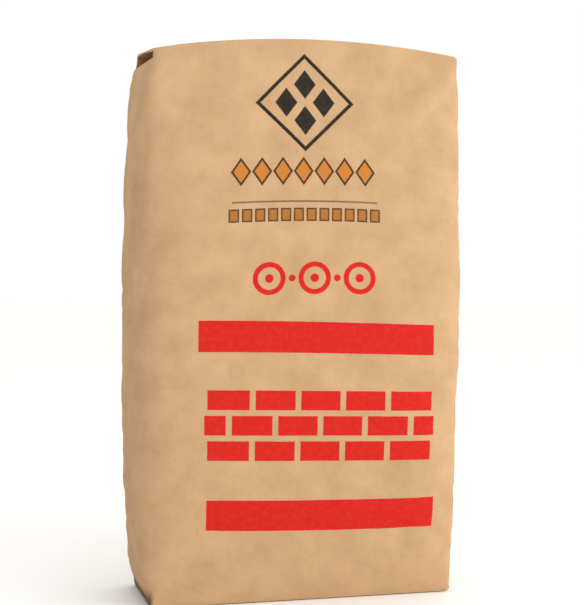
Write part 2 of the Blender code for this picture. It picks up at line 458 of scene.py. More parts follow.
# Each crease runs between two points of the unrolled paper, in metres across and up, and is so many mm deep.
CREASES = [
    (-0.186, 0.205, -0.105, 0.262, 2.25),
    (-0.178, 0.120, -0.118, 0.176, 1.80),
    (-0.190, 0.300, -0.140, 0.318, 1.50),
    (-0.172, 0.060, -0.090, 0.094, 1.95),
    (-0.150, 0.034, -0.060, 0.052, 1.50),
    (0.186, 0.060, 0.100, 0.100, 1.95),
    (0.180, 0.150, 0.130, 0.118, 1.50),
    (0.050, 0.036, 0.140, 0.064, 1.35),
    (-0.170, 0.600, -0.080, 0.552, 1.80),
    (-0.186, 0.520, -0.120, 0.560, 1.80),
    (-0.188, 0.440, -0.130, 0.470, 1.50),
    (0.184, 0.610, 0.120, 0.560, 1.65),
    (0.188, 0.470, 0.150, 0.430, 1.50),
    (0.060, 0.630, 0.150, 0.605, 1.35),
    (-0.152, 0.250, -0.146, 0.370, 1.20),
    (-0.060, 0.300, 0.030, 0.335, 0.90),
    (-0.240, 0.090, -0.205, 0.210, 2.40),
    (-0.232, 0.400, -0.262, 0.520, 2.10),
    (-0.270, 0.060, -0.232, 0.140, 2.10),
    (0.232, 0.120, 0.262, 0.240, 2.25),
    (0.262, 0.420, 0.226, 0.560, 2.25),
    (0.240, 0.030, 0.275, 0.100, 2.10),
    (0.340, 0.100, 0.430, 0.170, 1.95),
    (0.620, 0.090, 0.560, 0.200, 1.95),
    (0.350, 0.590, 0.440, 0.520, 2.10),
    (0.640, 0.560, 0.570, 0.500, 1.80),
    (0.480, 0.280, 0.560, 0.350, 1.35),
]


def place_on_paper(block):
    """Where points of the block lie across the unrolled tube. The front is from -0.187 to 0.187."""
    x, y = block[:, 0], block[:, 1]
    behind = y + END_DEPTH / 2
    on_right = x > END_WIDTH / 2 - ON_FOLD
    on_left = x < -END_WIDTH / 2 + ON_FOLD
    on_back = y > END_DEPTH / 2 - ON_FOLD
    across = np.where(on_back, END_WIDTH + END_DEPTH - x, x)
    across = np.where(on_right, END_WIDTH / 2 + behind, across)
    return np.where(on_left, -END_WIDTH / 2 - behind, across)


def crease_lift(across, up):
    """How far the single creases lift the paper at each place. It is negative in them and 0 elsewhere."""
    lift = np.zeros(len(across))
    for x0, z0, x1, z1, depth_mm in CREASES:
        length = math.hypot(x1 - x0, z1 - z0)
        way = ((x1 - x0) / length, (z1 - z0) / length)
        along = (across - x0) * way[0] + (up - z0) * way[1]
        off = (across - x0) * -way[1] + (up - z0) * way[0] + CREASE_WANDER * np.sin(along * CREASE_WAVES)
        fade = smooth_step(along / length * CREASE_FADE) * smooth_step((1 - along / length) * CREASE_FADE)
        valley = np.exp(-np.abs(off) / np.where(off > 0, GENTLE_SIDE, STEEP_SIDE))
        lift -= depth_mm / 1000 * fade * valley
    return lift


only(sack)
finer = sack.modifiers.new("Subdivision", "SUBSURF")
finer.levels = finer.render_levels = 1
bpy.ops.object.modifier_apply(modifier="Subdivision")
block = np.empty(len(sack.data.vertices) * 3)
sack.data.attributes["block_place"].data.foreach_get("vector", block)
block = block.reshape(-1, 3)
single = crease_lift(place_on_paper(block), block[:, 2])
print("single creases up to", round(-single.min() * 1000, 2), "mm deep, on", len(block), "points")

# %% Dents and valleys
DENT_SIZE = 0.085
DENT_DEPTH = 0.0024
DENT_SEED = Vector((3.1, 7.7, 1.9))
DENT_SQUEEZE = 1.4
VALLEY_SIZE = 0.040
VALLEY_DEPTH = 0.0019
VALLEY_LEAN = math.radians(38)
VALLEY_STRETCH = 0.55
FINER_VALLEYS = 2.1
FINER_SEED = Vector((5, 1, 8))
STIFF_END = 0.022
FRONT_CALM = 0.35
CALM_FROM, CALM_OVER = 0.010, 0.075
DEEPEST = 0.0036

to_end = np.minimum(block[:, 2] - SACK_LOW[2], SACK_LOW[2] + SACK_HEIGHT - block[:, 2])
calm_end = smooth_step(to_end / STIFF_END)
to_corner = END_WIDTH / 2 - np.abs(block[:, 0])
calm_front = FRONT_CALM + (1 - FRONT_CALM) * smooth_step(1 - (to_corner - CALM_FROM) / CALM_OVER)
cos_lean, sin_lean = math.cos(VALLEY_LEAN), math.sin(VALLEY_LEAN)
depth = np.zeros(len(block))
for index, (x, y, z) in enumerate(block):
    wide = noise.noise(Vector((x, y * DENT_SQUEEZE, z)) / DENT_SIZE + DENT_SEED)
    along = (x * cos_lean + z * sin_lean) * VALLEY_STRETCH
    leaning = Vector((along, y, z * cos_lean - x * sin_lean)) / VALLEY_SIZE
    net = abs(noise.noise(leaning)) + 0.5 * abs(noise.noise(leaning * FINER_VALLEYS + FINER_SEED))
    depth[index] = DENT_DEPTH * wide - VALLEY_DEPTH * (1 - 2 * min(net, 0.5))
depth = (depth - depth.mean()) * calm_front + single
depth = np.clip(depth, -DEEPEST, DEEPEST)
creased = positions(sack) + normals_of(sack) * (depth * calm_end)[:, None]
print("paper moved between", round(depth.min() * 1000, 2), "and", round(depth.max() * 1000, 2), "mm")

# %% [markdown]
# The short folds at the right end have rubbed round. Near each of them the paper's way from the end face to
# the side is laid along an arc instead of round a corner.

# %% Rubbed corners
RUBBED_TOP = 0.0095
RUBBED_BOTTOM = 0.0075
for radius, level, way in (
    (RUBBED_TOP, SACK_LOW[2] + SACK_HEIGHT, 1),
    (RUBBED_BOTTOM, SACK_LOW[2], -1),
):
    along_end = END_WIDTH / 2 - block[:, 0]
    along_side = (level - block[:, 2]) * way
    near = (along_end < radius) & (along_side < radius) & (block[:, 0] > 0)
    from_fold = along_end[near] - along_side[near]
    angle = math.pi / 4 * (1 + from_fold / radius)
    arc_in = radius - radius * np.cos(angle)
    arc_down = radius - radius * np.sin(angle)
    creased[near, 0] -= arc_in - along_end[near]
    creased[near, 2] -= way * (arc_down - along_side[near])
    print("rounded", int(near.sum()), "points")
move_to(sack, creased)

# %% [markdown]
# ## Layers pasted on
# The ends show how such a sack is folded: the sides go in first, as triangles, then a long flap from the
# back, a long flap from the front over it, both with their ends cut at 45 degrees, and last a cover strip.
# The tube itself is closed by a lap that runs up the back. Flat sheets laid on top would cut through the
# crumpled paper. So each layer is a copy of the faces that it lies on, trimmed with straight cuts, lifted
# clear and given the thickness of paper, and it follows every bump.

# %% Cutting a layer
PLY = 0.0002
CLEAR = 0.00008


def pasted_layer(name, rule, cuts, number):
    """Copies the sack's faces whose normals the rule takes, cuts off what lies beyond each plane, lifts the
    copy clear of the sack and of as many layers as its number says, and thickens it."""
    layer = copy_of(sack, name)
    only(layer)
    bpy.ops.object.mode_set(mode="EDIT")
    pick(layer, lambda face: not rule(face.normal))
    bpy.ops.mesh.delete(type="FACE")
    for point, way in cuts:
        bpy.ops.mesh.select_all(action="SELECT")
        bpy.ops.mesh.bisect(plane_co=point, plane_no=way, clear_outer=True)
    bpy.ops.object.mode_set(mode="OBJECT")
    move_to(layer, positions(layer) + normals_of(layer) * (CLEAR * (number + 1) + PLY * number))
    wall = layer.modifiers.new("Ply", "SOLIDIFY")
    wall.thickness = PLY
    wall.offset = 1
    bpy.ops.object.modifier_apply(modifier="Ply")
    bpy.ops.object.shade_smooth_by_angle(angle=math.radians(40))
    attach(layer, "root")
    print(name, "has", len(layer.data.polygons), "faces")
    return layer


# %% Flaps and cover strips
LAID_FLAT = 0.9
BOTTOM_CHAMFER = 0.0015
FLAP_PAST_MIDDLE = 0.024
FLAP_FROM_FOLD = 0.0035
FLAP_SHORT_LEFT, FLAP_SHORT_RIGHT = 0.003, 0.004
STRIP_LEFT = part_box("top_cover_patch")[0][0]
STRIP_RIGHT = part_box("top_cover_patch")[1][0]
STRIP_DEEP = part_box("top_cover_patch")[1][1]
strip_cuts = [
    ((STRIP_LEFT, 0, 0), (-1, 0, 0)),
    ((STRIP_RIGHT, 0, 0), (1, 0, 0)),
    ((0, STRIP_DEEP, 0), (0, 1, 0)),
    ((0, -STRIP_DEEP, 0), (0, -1, 0)),
]


def flap_cuts(side, left, right):
    """The straight cuts of a long flap: from its fold on one side to past the middle, with 45 degree ends."""
    fold = side * END_DEPTH / 2
    return [
        ((0, fold - side * FLAP_FROM_FOLD, 0), (0, side, 0)),
        ((0, -side * FLAP_PAST_MIDDLE, 0), (0, -side, 0)),
        ((left, fold, 0), (-1, -side, 0)),
        ((right, fold, 0), (1, -side, 0)),
    ]


layers = {}
for end, way, cut_away in (("top", 1, MOUTH_REACH), ("bottom", -1, BOTTOM_CHAMFER)):
    def on_end(normal, way=way):
        """True for the faces of this end."""
        return normal.z * way > LAID_FLAT

    left = LEFT_END + cut_away + FLAP_SHORT_LEFT
    right = RIGHT_END - FLAP_SHORT_RIGHT
    for number, (face_name, side) in enumerate((("back", 1), ("front", -1))):
        name = end + "_" + face_name + "_flap"
        layers[name] = pasted_layer(name, on_end, flap_cuts(side, left, right), number)
    strip = pasted_layer(end + "_cover_strip", on_end, strip_cuts, 2)
    layers[end + "_cover_strip"] = strip
    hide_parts(end + "_cover_patch")

# %% The lap up the back
SEAM_AT = 0.066
SEAM_WIDTH = 0.034
SEAM_FROM_BOTTOM, SEAM_FROM_TOP = 0.005, 0.012
seam_cuts = [
    ((SEAM_AT - SEAM_WIDTH / 2, 0, 0), (-1, 0, 0)),
    ((SEAM_AT + SEAM_WIDTH / 2, 0, 0), (1, 0, 0)),
    ((0, 0, SACK_LOW[2] + SEAM_FROM_BOTTOM), (0, 0, -1)),
    ((0, 0, SACK_TOP - SEAM_FROM_TOP), (0, 0, 1)),
]
layers["back_seam"] = pasted_layer("back_seam", lambda normal: normal.y > 0.5, seam_cuts, 0)

# %% [markdown]
# ## The filling mouth
# At the top of the left side the end isn't pasted shut: the filling spout went in there. What shows is a dark
# slot along that side, under a lip of paper that is lifted a little at its back. It is a wedge of air, cut
# out of the sack with a boolean, so a cube is trimmed to that wedge first and its top is twisted to follow
# the lip. The corner below it, at the bottom, is only a little blunt, so a thin slice is cut off it.

# %% Mouth and lower corner
MOUTH_OUT = 0.030
MOUTH_FALL = 0.62
MOUTH_HALF_LENGTH = 0.0565
LIP_PLIES = 0.0036
ABOVE_ROOT = 0.001
SAME_POINT = 0.00005
DOWN_LEFT = Vector((-1, 0, -1)).normalized()
low_corner = Vector((LEFT_END, 0, SACK_LOW[2] + BOTTOM_CHAMFER))

air_size = (MOUTH_OUT, MOUTH_HALF_LENGTH * 2, MOUTH_OUT * 2)
air = add_box("mouth_air", (mouth_root.x - MOUTH_OUT / 2, 0, mouth_root.z), air_size)
cut_corner(air, mouth_root, Vector((MOUTH_FALL, 0, -1)).normalized())
points = positions(air)
for point in points:
    if point[2] > mouth_root.z + ABOVE_ROOT:
        outward = (mouth_root.x - point[0]) / MOUTH_REACH
        lip_end = SACK_TOP - crown_drop(LEFT_END, point[1]) - LIP_PLIES
        point[2] = mouth_root.z + (lip_end - mouth_root.z) * outward
move_to(air, points)
only(air)
bpy.ops.object.mode_set(mode="EDIT")
bpy.ops.mesh.select_all(action="SELECT")
bpy.ops.mesh.remove_doubles(threshold=SAME_POINT)
bpy.ops.mesh.quads_convert_to_tris()
bpy.ops.mesh.normals_make_consistent(inside=False)
bpy.ops.object.mode_set(mode="OBJECT")

only(sack)
opening = sack.modifiers.new("Mouth", "BOOLEAN")
opening.operation = "DIFFERENCE"
opening.solver = "EXACT"
opening.object = air
bpy.ops.object.modifier_apply(modifier="Mouth")
bpy.data.objects.remove(air)
cut_corner(sack, low_corner, DOWN_LEFT)
only(sack)
bpy.ops.object.shade_smooth_by_angle(angle=math.radians(35))
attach(sack, "root")
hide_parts("sack_body")
print("sack has", len(sack.data.polygons), "faces")

# %% [markdown]
# ## The filling sleeve
# A tube of thinner paper runs in from the mouth, and the cement presses it flat, which is what shuts the
# sack. It is a flat box with its mouth end left open, rumpled a little, and given a wall.

# %% Sleeve
SLEEVE_LOW, SLEEVE_HIGH = [np.array(corner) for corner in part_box("valve_sleeve")]
SLEEVE_LENGTH, SLEEVE_WIDE, SLEEVE_FLAT = 0.120, 0.096, 0.0022
SLEEVE_SLICES = (24, 20, 1)
SLEEVE_SLOPE = math.radians(6)
SLEEVE_WALL = 0.0003
RUMPLE_DEPTH = 0.0009
RUMPLES_ALONG, RUMPLES_ACROSS, RUMPLE_SEED = 30, 70, 3.0
WIDER_BY, WIDER_FROM = 0.6, 0.35

sleeve = add_box("valve_sleeve_paper", (0, 0, 0), (SLEEVE_LENGTH, SLEEVE_WIDE, SLEEVE_FLAT))
cut_in_slices(sleeve, SLEEVE_SLICES)
bpy.ops.object.mode_set(mode="EDIT")
pick(sleeve, lambda face: face.normal.x < -0.9)
bpy.ops.mesh.delete(type="FACE")
bpy.ops.object.mode_set(mode="OBJECT")
points = positions(sleeve)
for point in points:
    rumple = noise.noise(Vector((point[0] * RUMPLES_ALONG, point[1] * RUMPLES_ACROSS, RUMPLE_SEED)))
    point[2] += RUMPLE_DEPTH * rumple
    point[2] *= 1 + WIDER_BY * max(0, -point[0] / SLEEVE_LENGTH - WIDER_FROM)
sleeve_middle = (SLEEVE_LOW + SLEEVE_HIGH) / 2
tilt = np.array(Matrix.Rotation(-SLEEVE_SLOPE, 3, "Y"))
move_to(sleeve, points @ tilt.T + sleeve_middle)
wall = sleeve.modifiers.new("Wall", "SOLIDIFY")
wall.thickness = SLEEVE_WALL
wall.offset = -1
only(sleeve)
bpy.ops.object.modifier_apply(modifier="Wall")
bpy.ops.object.shade_smooth_by_angle(angle=math.radians(50))
sleeve.data.uv_layers.new(name="paper")
for loop in sleeve.data.loops:
    x, y, z = sleeve.data.vertices[loop.vertex_index].co
    sleeve.data.uv_layers["paper"].data[loop.index].uv = (x, y)
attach(sleeve, "root")
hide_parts("valve_sleeve")
print("sleeve has", len(sleeve.data.polygons), "faces")

# %% [markdown]
# ## Colours and nodes
# Colours are given as they look on a screen, and one function turns them into the linear values that the
# renderer works in. One more function adds a node to a material, with its settings and links. Its inputs are
# numbered as they stand on the node: a number, vector or colour is set there, and a socket is linked. A node
# stands for its first output, which is the one that most nodes are wanted for.

# %% Colour and node helpers
def linear(hex_colour):
    """An sRGB hex colour as linear red, green, blue and alpha."""
    shares = [int(hex_colour[i : i + 2], 16) / 255 for i in (1, 3, 5)]
    return [s / 12.92 if s <= 0.04045 else ((s + 0.055) / 1.055) ** 2.4 for s in shares] + [1]


def add_node(tree, kind, inputs=None, **settings):
    """Adds a shader node of this kind with its settings, and sets or links its inputs."""
    made = tree.nodes.new("ShaderNode" + kind)
    for key, value in settings.items():
        setattr(made, key, value)
    for key, value in (inputs or {}).items():
        source = value.outputs[0] if isinstance(value, bpy.types.Node) else value
        if isinstance(source, bpy.types.NodeSocket):
            tree.links.new(source, made.inputs[key])
        else:
            made.inputs[key].default_value = source
    return made


def new_material(name, roughness):
    """A new material, its node tree and its shader."""
    material = bpy.data.materials.new(name)
    material.use_nodes = True
    shader = material.node_tree.nodes["Principled BSDF"]
    shader.inputs["Roughness"].default_value = roughness
    return material, material.node_tree, shader


def give_surface(tree, shader, colour, height_mm, bump):
    """Links a colour to a shader, and a height in millimetres that it shows as bumps."""
    relief = add_node(tree, "Bump", {0: bump, 1: 0.001, "Height": height_mm})
    tree.links.new(colour, shader.inputs["Base Color"])
    tree.links.new(relief.outputs[0], shader.inputs["Normal"])


# %% [markdown]
# ## Kraft paper
# Brown kraft is unbleached: long fibres, mostly running up the tube, give it faint darker and lighter
# streaks, with a cloudy change over a few centimetres and some dark specks of bark. It is dull, and its fine
# crepe and small dents are too shallow to model, so they are bumps. All of it reads the map of the unrolled
# paper, so that the streaks follow the sack round and over its folds.

# %% Kraft paper
PAPER_ROUGHNESS = 0.86
PAPER_SHEEN = 0.25
# Each pattern in the paper has a size in mm across and up, and a noise's detail and roughness.
KRAFT_PATTERNS = {
    "clouds": (46, 46, 4.0, 0.6),
    "streaks": (1.4, 26, 3.0, 0.6),
    "specks": (2.6, 2.6 / 0.6, 2.0, 0.5),
    "dents": (17, 17, 3.0, 0.5),
}
CLOUD_SHARE = 0.82
DARK_BELOW, LIGHT_ABOVE = 0.30, 0.70
BARK, BARK_FROM, BARK_FULL, BARK_COVER = "#8a6238", 0.72, 0.82, 0.35
CRUMPLE_MM = (34 / 0.55, 34)
CRUMPLE_LEAN = 0.6
CRUMPLE_BEND = 0.35
FOLD_REACH = 0.10
FOLD_MM, DENT_MM, STREAK_MM = 0.55, 1.5, 0.06


def crumple_net(tree, in_mm, dents):
    """Places in a net of leaning cells, whose straight edges are bent a little by the dents."""
    cell = (1 / CRUMPLE_MM[0], 1 / CRUMPLE_MM[1], 1)
    net = add_node(tree, "Mapping", {0: in_mm, 2: (0, 0, CRUMPLE_LEAN), 3: cell})
    bend = add_node(tree, "CombineXYZ", {0: dents, 1: dents})
    bent = add_node(tree, "VectorMath", {0: bend, 3: CRUMPLE_BEND}, operation="SCALE")
    return add_node(tree, "VectorMath", {0: net, 1: bent}, operation="ADD")


def kraft_base(tree, light, dark):
    """The colour and height of plain kraft, and its place on the unrolled paper, in millimetres."""
    paper = add_node(tree, "UVMap", uv_map="paper")
    in_mm = add_node(tree, "VectorMath", {0: paper, 3: 1000.0}, operation="SCALE")
    noises = {}
    for name, (across, up, detail, roughness) in KRAFT_PATTERNS.items():
        spread = add_node(tree, "Mapping", {0: in_mm, 3: (1 / across, 1 / up, 1)})
        noises[name] = add_node(tree, "TexNoise", {0: spread, 2: 1.0, 3: detail, 4: roughness})

    cloudy = add_node(tree, "Math", {0: noises["clouds"], 1: CLOUD_SHARE}, operation="MULTIPLY")
    streaky = add_node(tree, "Math", {0: noises["streaks"], 1: 1 - CLOUD_SHARE}, operation="MULTIPLY")
    shade = add_node(tree, "Math", {0: cloudy, 1: streaky}, operation="ADD")
    share = add_node(tree, "MapRange", {0: shade, 1: DARK_BELOW, 2: LIGHT_ABOVE, 3: 0.0, 4: 1.0})
    colour = add_node(tree, "Mix", {0: share, 6: linear(dark), 7: linear(light)}, data_type="RGBA")
    bark = add_node(tree, "MapRange", {0: noises["specks"], 1: BARK_FROM, 2: BARK_FULL, 4: BARK_COVER})
    colour = add_node(tree, "Mix", {0: bark, 6: colour.outputs[2], 7: linear(BARK)}, data_type="RGBA")

    net = crumple_net(tree, in_mm, noises["dents"])
    to_fold = add_node(tree, "TexVoronoi", {0: net, 2: 1.0}, feature="DISTANCE_TO_EDGE")
    fold = add_node(tree, "MapRange", {0: to_fold, 1: 0.0, 2: FOLD_REACH, 3: -FOLD_MM, 4: 0.0})
    dented = add_node(tree, "Math", {0: noises["dents"], 1: DENT_MM}, operation="MULTIPLY")
    grained = add_node(tree, "Math", {0: noises["streaks"], 1: STREAK_MM}, operation="MULTIPLY")
    height = add_node(tree, "Math", {0: dented, 1: grained}, operation="ADD")
    height = add_node(tree, "Math", {0: height, 1: fold}, operation="ADD")
    return colour.outputs[2], height, in_mm


def paper_material(name, light, dark, bump=0.35):
    """A plain kraft paper."""
    material, tree, shader = new_material(name, PAPER_ROUGHNESS)
    shader.inputs["Specular IOR Level"].default_value = PAPER_SHEEN
    colour, height, _ = kraft_base(tree, light, dark)
    give_surface(tree, shader, colour, height, bump)
    return material


patch_paper = paper_material("patch paper", "#cda679", "#b98f60")
flap_paper = paper_material("flap paper", "#d0a97c", "#c19a6b")
# Painted shade: a darker copy of the paper for the slot inside the mouth, standing in for its shadow.
inner_ply_painted_shade = paper_material("inner ply, painted shade", "#b28c5e", "#967049")
# Painted shade: a darker copy of the paper for the thin slice at the lower left corner, standing in for the
# shadow near the floor.
lower_corner_painted_shade = paper_material("lower corner, painted shade", "#ab8458", "#946d44")
sleeve_paper = paper_material("sleeve paper", "#a98258", "#8d6840")
print("plain papers ready")

# %% [markdown]
# ## The print
# Such a sack is printed with rubber plates, in few and flat colours, and its ink sits unevenly on the rough
# paper, with slightly ragged edges. The motifs are plain ones: a diamond frame, a row of lozenges, a rule, a
# row of blocks, rings with a dot in each, two bands and three courses of bricks. Cut from sheets and laid on
# they would stand proud of the paper. Here each is drawn by a distance, in millimetres, that is negative
# inside the shape, so that one loop can turn any of them into inked paper.

# %% Shapes of ink
def from_centre(tree, at, centre):
    """How far a place is from a centre, across and up."""
    away = add_node(tree, "VectorMath", {0: at, 1: (*centre, 0)}, operation="SUBTRACT")
    return add_node(tree, "VectorMath", {0: away}, operation="ABSOLUTE")


def box_shape(tree, at, centre, half):
    """Distance from a box, negative inside."""
    away = from_centre(tree, at, centre)
    past = add_node(tree, "VectorMath", {0: away, 1: (*half, 0)}, operation="SUBTRACT")
    sides = add_node(tree, "SeparateXYZ", {0: past}).outputs
    return add_node(tree, "Math", {0: sides[0], 1: sides[1]}, operation="MAXIMUM")


def lozenge_shape(tree, at, centre, half):
    """Distance from a lozenge, negative inside, measured across its sides."""
    away = from_centre(tree, at, centre)
    ratio = add_node(tree, "VectorMath", {0: away, 1: (*half, 1)}, operation="DIVIDE")
    shares = add_node(tree, "SeparateXYZ", {0: ratio}).outputs
    total = add_node(tree, "Math", {0: shares[0], 1: shares[1]}, operation="ADD")
    past = add_node(tree, "Math", {0: total, 1: 1.0}, operation="SUBTRACT")
    middle_to_side = half[0] * half[1] / math.hypot(*half)
    return add_node(tree, "Math", {0: past, 1: middle_to_side}, operation="MULTIPLY")


def disc_shape(tree, at, centre, radius):
    """Distance from a disc, negative inside."""
    away = add_node(tree, "VectorMath", {0: at, 1: (*centre, 0)}, operation="DISTANCE").outputs[1]
    return add_node(tree, "Math", {0: away, 1: radius}, operation="SUBTRACT")


def combined(tree, shapes, operation):
    """Several shapes as one: MINIMUM covers what any of them covers, MAXIMUM only what all of them do."""
    whole = shapes[0]
    for shape in shapes[1:]:
        whole = add_node(tree, "Math", {0: whole, 1: shape}, operation=operation)
    return whole


def outline_of(tree, shape, thickness):
    """A line of that thickness just inside a shape's edge."""
    to_middle = add_node(tree, "Math", {0: shape, 1: thickness / 2}, operation="ADD")
    off_line = add_node(tree, "Math", {0: to_middle}, operation="ABSOLUTE")
    return add_node(tree, "Math", {0: off_line, 1: thickness / 2}, operation="SUBTRACT")


def repeated(tree, at, centre, half, pitch):
    """The same place counted again and again from a box's lower left corner, as on a wallpaper."""
    start = (centre[0] - half[0], centre[1] - half[1], 0)
    moved = add_node(tree, "VectorMath", {0: at, 1: start}, operation="SUBTRACT")
    return add_node(tree, "VectorMath", {0: moved, 1: (*pitch, 1)}, operation="MODULO")


# %% [markdown]
# The sizes of the motifs are in millimetres on the unrolled paper: across from the middle of the front, and
# up. A row is one shape that repeats with a pitch, inside the box that the row fills.

# %% Upper motifs
DIAMOND_AT, DIAMOND_HALF, DIAMOND_LINE = (-5.0, 585.0), (58.0, 57.0), 4.2
INNER_AT = [(-5.0, 606.0), (-5.0, 564.0), (-27.0, 585.0), (17.0, 585.0)]
INNER_HALF = (13.0, 17.0)
ROW_AT, ROW_HALF, ROW_PITCH = (-7.3, 505.5), (84.5, 17.5), 24.142
ROW_LOZENGE, ROW_LINE = (11.6, 16.5), 2.3
RULE_AT, RULE_HALF = (-5.2, 470.6), (84.5, 1.1)
BLOCKS_AT, BLOCKS_HALF, BLOCK_PITCH = (-5.6, 455.3), (89.6, 7.6), 14.933
BLOCK_GAP, BLOCK_LINE = 3.2, 1.7
NEXT_ROW_UP = 1000.0
KRAFT_LIGHT, KRAFT_DARK, KRAFT_BUMP = "#d4ad83", "#bf996f", 0.45

kraft, tree, shader = new_material("printed kraft paper", PAPER_ROUGHNESS)
shader.inputs["Specular IOR Level"].default_value = PAPER_SHEEN
colour, paper_height, in_mm = kraft_base(tree, KRAFT_LIGHT, KRAFT_DARK)

diamond = outline_of(tree, lozenge_shape(tree, in_mm, DIAMOND_AT, DIAMOND_HALF), DIAMOND_LINE)
inner_lozenges = [lozenge_shape(tree, in_mm, centre, INNER_HALF) for centre in INNER_AT]
black_shape = combined(tree, [diamond] + inner_lozenges, "MINIMUM")

in_row = repeated(tree, in_mm, ROW_AT, ROW_HALF, (ROW_PITCH, NEXT_ROW_UP))
one_lozenge = lozenge_shape(tree, in_row, (ROW_PITCH / 2, ROW_HALF[1]), ROW_LOZENGE)
row_limits = box_shape(tree, in_mm, ROW_AT, ROW_HALF)
orange_shape = combined(tree, [one_lozenge, row_limits], "MAXIMUM")
orange_line = combined(tree, [outline_of(tree, one_lozenge, ROW_LINE), row_limits], "MAXIMUM")

rule_shape = box_shape(tree, in_mm, RULE_AT, RULE_HALF)

in_blocks = repeated(tree, in_mm, BLOCKS_AT, BLOCKS_HALF, (BLOCK_PITCH, NEXT_ROW_UP))
block_half = ((BLOCK_PITCH - BLOCK_GAP) / 2, BLOCKS_HALF[1])
one_block = box_shape(tree, in_blocks, (BLOCK_PITCH / 2, BLOCKS_HALF[1]), block_half)
block_limits = box_shape(tree, in_mm, BLOCKS_AT, BLOCKS_HALF)
blocks_shape = combined(tree, [one_block, block_limits], "MAXIMUM")
blocks_line = combined(tree, [outline_of(tree, one_block, BLOCK_LINE), block_limits], "MAXIMUM")
print("upper motifs drawn with", len(tree.nodes), "nodes")

# %% [markdown]
# The red motifs come below. The bands and bricks lean: their right ends are printed a little lower than
# their left ones, and they sag by a few millimetres in the middle, because the paper wasn't quite flat under
# the plate. Every second course of bricks is shifted by half a brick.

# %% Lower motifs
RING_CENTRES, RING_RADIUS, DOT_RADIUS = (-47.0, 6.0, 59.0), 19.0, 5.0
SPACER_CENTRES, SPACER_RADIUS = (-20.5, 32.5), 4.0
DISCS_UP = 382.0
RING_LINE = 6.0
UPPER_BAND_AT, LOWER_BAND_AT, BAND_HALF = (10.1, 314.6), (19.2, 105.2), (134.6, 18.2)
BRICKS_AT, BRICKS_HALF = (15.0, 212.5), (133.0, 42.5)
BRICK_PITCH, BRICK_GAP = (53.2, 29.67), 6.6
LEAN = 0.028
LEAN_ABOUT = 15.0
HALF_BAND = 135.0
SAG = 2.8
SAG_SHARE_UP = 0.75

place = add_node(tree, "SeparateXYZ", {0: in_mm}).outputs
from_middle = add_node(tree, "Math", {0: place[0], 1: LEAN_ABOUT}, operation="SUBTRACT")
lean = add_node(tree, "Math", {0: from_middle, 1: LEAN}, operation="MULTIPLY")
squared = add_node(tree, "Math", {0: from_middle, 1: 2.0}, operation="POWER")
sag = add_node(tree, "Math", {0: squared, 1: SAG / HALF_BAND**2}, operation="MULTIPLY")
leaned = add_node(tree, "Math", {0: lean, 1: sag}, operation="SUBTRACT")
leaned = add_node(tree, "Math", {0: leaned, 1: place[1]}, operation="ADD")
leaned = add_node(tree, "Math", {0: leaned, 1: SAG * SAG_SHARE_UP}, operation="ADD")
leaning = add_node(tree, "CombineXYZ", {0: place[0], 1: leaned})

discs = [(x, RING_RADIUS) for x in RING_CENTRES] + [(x, DOT_RADIUS) for x in RING_CENTRES]
discs += [(x, SPACER_RADIUS) for x in SPACER_CENTRES]
red_shapes = [
    outline_of(tree, disc_shape(tree, in_mm, (x, DISCS_UP), radius), RING_LINE) for x, radius in discs
]
red_shapes += [box_shape(tree, leaning, centre, BAND_HALF) for centre in (UPPER_BAND_AT, LOWER_BAND_AT)]

up_from_bricks = add_node(tree, "Math", {0: leaned, 1: BRICKS_AT[1] - BRICKS_HALF[1]}, operation="SUBTRACT")
course = add_node(tree, "Math", {0: up_from_bricks, 1: BRICK_PITCH[1]}, operation="DIVIDE")
whole_course = add_node(tree, "Math", {0: course}, operation="FLOOR")
odd_course = add_node(tree, "Math", {0: whole_course, 1: 2.0}, operation="MODULO")
half_brick = add_node(tree, "Math", {0: odd_course, 1: BRICK_PITCH[0] / 2}, operation="MULTIPLY")
shift = add_node(tree, "CombineXYZ", {0: half_brick})
shifted = add_node(tree, "VectorMath", {0: leaning, 1: shift}, operation="ADD")
in_brick = repeated(tree, shifted, BRICKS_AT, BRICKS_HALF, BRICK_PITCH)
brick_half = ((BRICK_PITCH[0] - BRICK_GAP) / 2, (BRICK_PITCH[1] - BRICK_GAP) / 2)
one_brick = box_shape(tree, in_brick, (BRICK_PITCH[0] / 2, brick_half[1]), brick_half)
brick_limits = box_shape(tree, leaning, BRICKS_AT, BRICKS_HALF)
red_shapes.append(combined(tree, [one_brick, brick_limits], "MAXIMUM"))
red_shape = combined(tree, red_shapes, "MINIMUM")
print("print drawn with", len(tree.nodes), "nodes")

# %% [markdown]
# Ink: the edge wanders by a fraction of a millimetre, and the film is thinner here and there, so that the
# paper's own streaks come through. It is a little smoother than bare paper.

# %% Inking the paper
INKS = [
    (orange_shape, "#c87b2c", 0.97),
    (orange_line, "#33281c", 0.96),
    (rule_shape, "#6d5c48", 0.85),
    (blocks_shape, "#ad6d29", 0.97),
    (blocks_line, "#46331c", 0.92),
    (black_shape, "#1d1812", 0.99),
    (red_shape, "#d3150c", 0.995),
]
INK_ROUGHNESS = 0.75
WAVES_PER_MM, RAGGED_MM = 0.45, 0.7
FILM_PER_MM, FILM_THIN, FILM_FULL, FILM_COVER = 0.16, 0.30, 0.55, 0.955
EDGE_MM = 0.35

